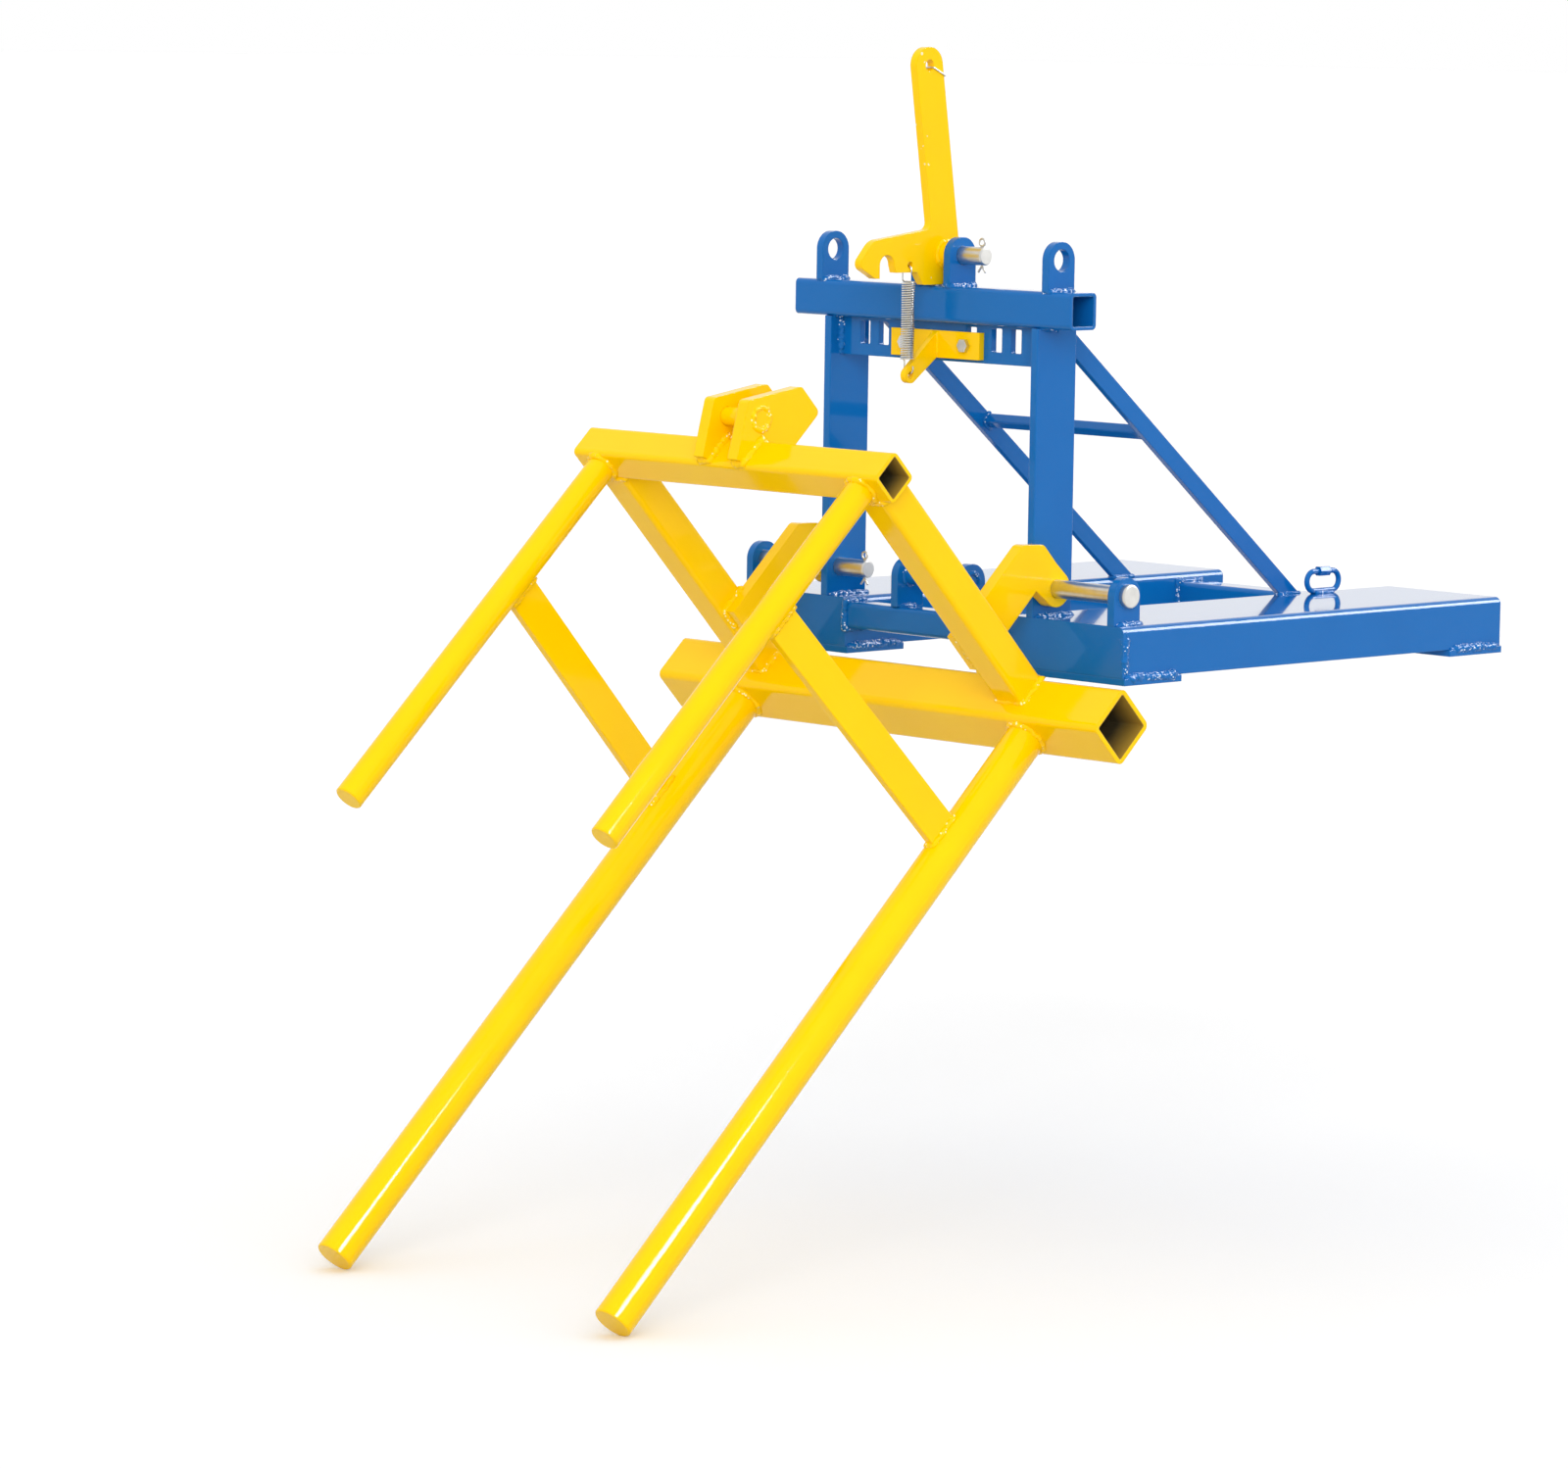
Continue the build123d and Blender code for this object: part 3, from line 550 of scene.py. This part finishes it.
def upright_frame_welds():
    """Beads of the posts, slotted plate, braces, their tie and the tubes between the pockets."""
    runs = []
    top_low, top_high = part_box("top_tube")
    plate_low, plate_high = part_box("slotted_plate")
    tie_low, tie_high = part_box("brace_tie")
    for side in ("left", "right"):
        low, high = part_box("post_" + side)
        for x in (low.x, high.x):
            ends = (top_low.y + BEAD, top_high.y - BEAD)
            runs.append(([Vector((x, y, high.z)) for y in ends], BEAD, False))
        x = plate_high.x if side == "right" else plate_low.x
        for y in (plate_low.y, plate_high.y):
            runs.append(([Vector((x, y, z)) for z in (plate_low.z, plate_high.z)], WIDE_BEAD, False))
        low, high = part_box("brace_" + side)
        top = plane_box("brace_" + side, 1, low.y)
        runs.append((loop(*top, 1), SMALL_BEAD, True))
        foot = plane_box("brace_" + side, 2, low.z)
        runs.append((loop(*foot, 2), SMALL_BEAD, True))
        slope = foot[1] - top[1]
        slope.x = 0
        along = slope.normalized() * TIE_TUBE / 2
        square = along.cross(Vector((1, 0, 0)))
        middle = (tie_low + tie_high) / 2
        middle.x = tie_high.x if side == "right" else tie_low.x
        corners = [middle + a * along + b * square for a, b in ((-1, -1), (1, -1), (1, 1), (-1, 1))]
        runs.append((corners, SMALL_BEAD, True))
        for name in ("front_tube", "rear_tube"):
            low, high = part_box(name)
            low.x = high.x if side == "right" else low.x
            runs.append((loop(low, high, 0), BEAD, True))
    return runs


def pocket_welds():
    """Beads along the pockets' straps, up their front corners, on the centre bar and the quick link."""
    runs = []
    bar_low, bar_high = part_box("centre_bar")
    for side in ("left", "right"):
        pocket_low, pocket_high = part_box("fork_pocket_" + side)
        for name in ("front_strap_", "rear_strap_"):
            low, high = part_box(name + side)
            ends = (low.y + BEAD, high.y - BEAD)
            for x in (pocket_low.x, pocket_high.x):
                runs.append(([Vector((x, y, high.z)) for y in ends], WIDE_BEAD, False))
        outer = max(pocket_low.x, pocket_high.x, key=abs)
        sunk = outer - math.copysign(WIDE_BEAD - CORNER_PROUD, outer)
        ends = (pocket_low.z, pocket_high.z - WIDE_BEAD)
        runs.append(([Vector((sunk, pocket_low.y + WIDE_BEAD, z)) for z in ends], WIDE_BEAD, False))
        low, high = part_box("centre_lug_" + side)
        for x in (low.x, high.x):
            centre = (bar_low + bar_high) / 2
            centre.x = x
            runs.append((ring(centre, (bar_high.z - bar_low.z) / 2, 0), SMALL_BEAD, True))
    low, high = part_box("quick_link")
    middle = (low + high) / 2
    half = (high.y - low.y - (high.z - low.z)) / 2
    ends = (middle.y - half, middle.y + half)
    rod = (high.x - low.x) / 2
    for x in (middle.x - rod, middle.x + rod):
        runs.append(([Vector((x, y, low.z + LINK_BEAD_RISE)) for y in ends], SMALL_BEAD, False))
    return runs


def anchor_welds():
    """Beads between the spring anchor's arm and its plate."""
    low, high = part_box("anchor_arm")
    root_low, root_high = plane_box("anchor_arm", 1, high.y)
    ends = (root_low.z, root_high.z)
    return [([Vector((x, high.y, z)) for z in ends], SMALL_BEAD, False) for x in (low.x, high.x)]


# Swing of the tine frame from level, where its pieces lie square, to rest
tilt = {joint["name"]: joint for joint in frame["joints"]}["frame_tilt"]
hinge = Vector(tilt["pos_m"])
drop = Matrix.Rotation(-math.radians(tilt["range_deg"][0]), 4, "X")
to_rest = Matrix.Translation(hinge) @ drop @ Matrix.Translation(-hinge)


def level_box(name):
    """Box of a tine-frame node with that frame swung level."""
    back = to_rest.inverted()
    points = [back @ v.co for v in frame["nodes"][name].data.vertices]
    return Vector(map(min, zip(*points))), Vector(map(max, zip(*points)))


def stop_bar_welds(side):
    """Beads round both ends of a stop bar, on the tines that it joins."""
    runs = []
    low, high = level_box("stop_bar_" + side)
    centres, radii = [], []
    for name in ("lower_tine_", "upper_tine_"):
        tine_low, tine_high = level_box(name + side)
        centres.append((tine_low + tine_high) / 2)
        radii.append((tine_high.x - tine_low.x) / 2)
    along = centres[1] - centres[0]
    along.y = 0
    along.normalize()
    across = along.cross(Vector((0, 1, 0))) * FLAT_BAR / 2
    for centre, radius, heading in zip(centres, radii, (along, -along)):
        seat = centre + heading * math.sqrt(radius**2 - (FLAT_BAR / 2) ** 2)
        corners = []
        for sign, y in ((-1, low.y), (-1, high.y), (1, high.y), (1, low.y)):
            point = seat + sign * across
            point.y = y
            corners.append(point)
        runs.append((corners, BEAD, True))
    return runs


def tine_frame_welds():
    """Beads of the tine frame, laid out level. A hinge plate's bead stays clear of its lug's round top."""
    runs = []
    upper_low, upper_high = level_box("upper_tube")
    pin_low, pin_high = level_box("catch_pin")
    for side in ("left", "right"):
        for name in ("upper_tine_", "lower_tine_"):
            low, high = level_box(name + side)
            centre = (low + high) / 2
            centre.y = high.y
            runs.append((ring(centre, (high.x - low.x) / 2, 1), BEAD, True))
        low, high = level_box("upright_" + side)
        for z in (low.z, high.z):
            corners = loop(low, high, 2, BEAD / 2)
            for corner in corners:
                corner.z = z
            runs.append((corners, BEAD, True))
        inner = min(low.x, high.x, key=abs)
        plate_low, plate_high = level_box("hinge_plate_" + side)
        lug_low, lug_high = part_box("hinge_lug_" + side)
        under = hinge.z + (lug_high.y - lug_low.y) / 2
        path = [(plate_low.y, under), (plate_low.y, plate_high.z), (high.y, plate_high.z), (high.y, under)]
        runs.append(([Vector((inner, y, z)) for y, z in path], BEAD, True))
        runs += stop_bar_welds(side)
        low, high = level_box("catch_plate_" + side)
        front = upper_low.y + WIDE_BEAD
        one_side = [(upper_high.y, low.z), (upper_high.y, upper_high.z), (front, upper_high.z)]
        path = [Vector((low.x, y, z)) for y, z in one_side]
        path += [Vector((high.x, y, z)) for y, z in reversed(one_side)]
        runs.append((path, WIDE_BEAD, False))
        centre = (pin_low + pin_high) / 2
        centre.x = max(low.x, high.x, key=abs)
        centre.x -= math.copysign(BEAD - CORNER_PROUD, centre.x)
        runs.append((ring(centre, pin_high.z - centre.z + CORNER_PROUD, 0), BEAD, True))
    return runs


def latch_welds():
    """Rings between the lever and its hub."""
    low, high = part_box("latch_lever")
    hub_low, hub_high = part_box("latch_hub")
    centre = (hub_low + hub_high) / 2
    radius = (hub_high.z - hub_low.z) / 2
    return [(ring(Vector((x, centre.y, centre.z)), radius, 0), SMALL_BEAD, True) for x in (low.x, high.x)]


def tube_lining(name, body, finish):
    """Thin layer inside an open tube along X: a closed sleeve with round corners, just off the wall."""
    low, high = level_box(name) if body == "tine_frame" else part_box(name)
    swing = to_rest if body == "tine_frame" else Matrix.Identity(4)
    middle = (low + high) / 2
    half = (high.z - low.z) / 2 - TUBE_WALLS[name] - LINING_GAP
    section = []
    for quarter in range(4):
        diagonal = math.pi / 4 + math.pi / 2 * quarter
        corner = Vector((math.cos(diagonal), math.sin(diagonal))) * math.sqrt(2)
        for n in range(CORNER_STEPS):
            angle = math.pi / 2 * (quarter + n / (CORNER_STEPS - 1))
            section.append((corner, Vector((math.cos(angle), math.sin(angle)))))
    count = len(section)
    verts, faces = [], []
    for x in (low.x, high.x):
        for depth in (0.0, LINING_THICKNESS):
            for corner, out in section:
                flat = corner * (half - depth - LINING_CORNER) + out * LINING_CORNER
                verts.append(swing @ Vector((x, middle.y + flat.x, middle.z + flat.y)))
    for near, far in ((0, 2), (3, 1), (1, 0), (2, 3)):
        for k in range(count):
            step = (k + 1) % count
            faces.append((near * count + k, near * count + step, far * count + step, far * count + k))
    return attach(piece(name + "_lining", finish, verts, faces, smooth=False), body)


def curve_between(start, heading_in, finish, heading_out):
    """Points of a smooth bend that leaves one place and reaches another along given headings."""
    length = (finish - start).length
    points = []
    for n in range(1, BEND_STEPS):
        t = n / BEND_STEPS
        a = 2 * t**3 - 3 * t**2 + 1
        pull_in = (t**3 - 2 * t**2 + t) * length * heading_in
        pull_out = (t**3 - t**2) * length * heading_out
        points.append(a * start + pull_in + (1 - a) * finish + pull_out)
    return points


def half_round(centre, radius, upward):
    """Points of a spring hook's half circle, from +X to -X."""
    sign = 1 if upward else -1
    angles = [math.pi * n / HOOK_STEPS for n in range(HOOK_STEPS + 1)]
    return [centre + radius * Vector((math.cos(a), 0, sign * math.sin(a))) for a in angles]


def wound_spring():
    """Extension spring: close turns between two hooks that are bent up from the last turns."""
    low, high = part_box("latch_spring")
    middle = (low + high) / 2
    radius = (high.x - low.x - SPRING_WIRE) / 2
    foot = low.z + SPRING_WIRE / 2 + radius
    head = high.z - SPRING_WIRE / 2 - radius
    first = foot + SPRING_LEG + SPRING_BEND
    turns = int((head - SPRING_LEG - SPRING_BEND - first) / SPRING_PITCH)
    last = first + turns * SPRING_PITCH
    bend = Vector((0, SPRING_BEND, 0))
    up = Vector((0, 0, 1))

    def at(z):
        return Vector((middle.x, middle.y, z))

    out = Vector((-radius, 0, 0))
    climb = Vector((0, -2 * math.pi * radius, SPRING_PITCH)).normalized()
    hook = half_round(at(foot) + bend, radius, False)
    path = [hook[0] + SPRING_HOOK_END * up] + hook
    leg_end = at(first) + bend - SPRING_BEND * up + out
    path += spaced([hook[-1], leg_end], SPRING_BEND, False)[1:]
    path += curve_between(leg_end, up, at(first) + out, climb)
    for n in range(turns * TURN_STEPS + 1):
        angle = math.pi + 2 * math.pi * n / TURN_STEPS
        wound = Vector((math.cos(angle), math.sin(angle), 0)) * radius
        path.append(at(first + SPRING_PITCH * n / TURN_STEPS) + wound)
    leg_start = at(last) - bend + SPRING_BEND * up + out
    path += curve_between(path[-1], climb, leg_start, up)
    hook = half_round(at(head) - bend, radius, True)[::-1]
    path += spaced([leg_start, hook[0]], SPRING_BEND, False)
    path += hook[1:] + [hook[-1] - SPRING_HOOK_END * up]
    verts, faces = [], []
    sweep(path, [SPRING_WIRE / 2] * len(path), WIRE_SIDES, False, verts, faces)
    made = piece("wound_spring", spring_wire, verts, faces)
    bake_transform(made)
    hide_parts("latch_spring")


def seen_rays(tree):
    """1 for rays that the eye sees, straight or by gloss or glass, and 0 for rays that light surfaces."""
    rays = node(tree, "ShaderNodeLightPath").outputs
    seen = rays["Is Camera Ray"]
    for other in ("Is Glossy Ray", "Is Transmission Ray"):
        seen = node(tree, "ShaderNodeMath", {0: seen, 1: rays[other]}, operation="MAXIMUM").outputs[0]
    return seen


def lay_floor():
    """Pale matt floor under the object."""
    bpy.ops.mesh.primitive_plane_add(size=FLOOR_SIZE, location=(0, 0, cad_box[0][2]))
    floor = bpy.context.object
    floor.name = "floor"
    material, tree = new_material("pale_floor")
    tones = {"A": linear(FLOOR_BOUNCE), "B": linear(FLOOR)}
    shade = node(tree, "ShaderNodeMix", {"Factor": seen_rays(tree)}, tones, data_type="RGBA")
    matt = node(tree, "ShaderNodeBsdfDiffuse", {"Color": shade.outputs["Result"]})
    node(tree, "ShaderNodeOutputMaterial", {"Surface": matt.outputs["BSDF"]})
    floor.data.materials.append(material)


def set_surroundings():
    """Soft light from all round, dimmer on one side, before a plain white backdrop."""
    world = bpy.data.worlds.new("white_surroundings")
    bpy.context.scene.world = world
    world.use_nodes = True
    tree = world.node_tree
    tree.nodes.clear()
    place = node(tree, "ShaderNodeTexCoord").outputs["Generated"]
    dim = {1: DIM_SIDE.normalized()}
    side = node(tree, "ShaderNodeVectorMath", {0: place}, dim, operation="DOT_PRODUCT").outputs["Value"]
    levels = {"From Min": -1.0, "To Min": BRIGHT_LEVEL, "To Max": DIM_LEVEL}
    level = node(tree, "ShaderNodeMapRange", {"Value": side}, levels).outputs["Result"]
    light = node(tree, "ShaderNodeBackground", {"Strength": level}, {"Color": WHITE})
    backdrop = node(tree, "ShaderNodeBackground", values={"Color": WHITE, "Strength": 1.0})
    either = {0: seen_rays(tree), 1: light.outputs["Background"], 2: backdrop.outputs["Background"]}
    sky = node(tree, "ShaderNodeMixShader", either)
    node(tree, "ShaderNodeOutputWorld", {"Surface": sky.outputs["Shader"]})


def lamp(name, kind, source):
    """A lamp that shines from a direction."""
    made = bpy.data.objects.new(name, bpy.data.lights.new(name, kind))
    made.rotation_euler = source.to_track_quat("Z", "Y").to_euler()
    bpy.context.scene.collection.objects.link(made)
    return made


def set_lamps():
    """A broad key lamp, and two lamps that only gloss shows."""
    key = lamp("key", "SUN", KEY_FROM)
    key.data.energy = KEY_STRENGTH
    key.data.angle = math.radians(KEY_WIDTH)
    key.visible_glossy = False
    rear = lamp("rear_gleam", "SUN", REAR_GLEAM_FROM)
    rear.data.energy = REAR_GLEAM_STRENGTH
    rear.data.angle = math.radians(REAR_GLEAM_WIDTH)
    rear.visible_diffuse = False
    panel = lamp("tine_panel", "AREA", PANEL_FROM)
    panel.data.shape = "RECTANGLE"
    panel.data.size = PANEL_WIDTH
    panel.data.size_y = PANEL_LENGTH
    panel.data.energy = PANEL_WATTS
    panel.data.spread = math.radians(PANEL_SPREAD)
    panel.visible_diffuse = False
    low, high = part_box("lower_tine_right")
    centre = low.lerp(high, PANEL_PLACE)
    centre.x = (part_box("lower_tine_left")[0].x + high.x) / 2
    panel.location = centre + PANEL_DISTANCE * PANEL_FROM


def set_camera():
    """The camera, aimed and rolled, and the plain view of its picture."""
    lens = bpy.data.cameras.new("camera")
    lens.sensor_fit = "HORIZONTAL"
    lens.sensor_width = SENSOR_WIDTH
    lens.lens = FOCAL_PIXELS * SENSOR_WIDTH / IMAGE_WIDTH
    lens.clip_end = SIGHT_LIMIT
    camera = bpy.data.objects.new("camera", lens)
    azimuth = math.radians(CAMERA_AZIMUTH)
    elevation = math.radians(CAMERA_ELEVATION)
    flat = Vector((math.sin(azimuth), -math.cos(azimuth), 0))
    back = flat * math.cos(elevation) + Vector((0, 0, math.sin(elevation)))
    turn = back.to_track_quat("Z", "Y").to_matrix() @ Matrix.Rotation(math.radians(CAMERA_ROLL), 3, "Z")
    camera.matrix_world = Matrix.Translation(AIM_POINT + CAMERA_DISTANCE * back) @ turn.to_4x4()
    bpy.context.scene.collection.objects.link(camera)
    bpy.context.scene.camera = camera
    bpy.context.scene.view_settings.view_transform = "Standard"


noise.seed_set(WANDER_SEED)
dress_frame()
base_hollows = [pocket_hollow("left"), pocket_hollow("right"), tube_hollow("top_tube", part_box("top_tube"))]
tine_hollows = [tube_hollow(name, level_box(name)) for name in ("upper_tube", "lower_tube")]
weld("lug_welds", "base", "blue_paint", lug_welds(), base_hollows)
weld("upright_frame_welds", "base", "blue_paint", upright_frame_welds(), base_hollows)
weld("pocket_welds", "base", "blue_paint", pocket_welds(), base_hollows)
weld("anchor_welds", "base", "yellow_paint", anchor_welds())
weld("tine_frame_welds", "tine_frame", "yellow_paint", tine_frame_welds(), tine_hollows, to_rest)
weld("latch_welds", "latch", "yellow_paint", latch_welds())
tube_lining("upper_tube", "tine_frame", tube_inside)
tube_lining("lower_tube", "tine_frame", tube_inside)
tube_lining("top_tube", "base", blue_enamel)
wound_spring()
lay_floor()
set_surroundings()
set_lamps()
set_camera()
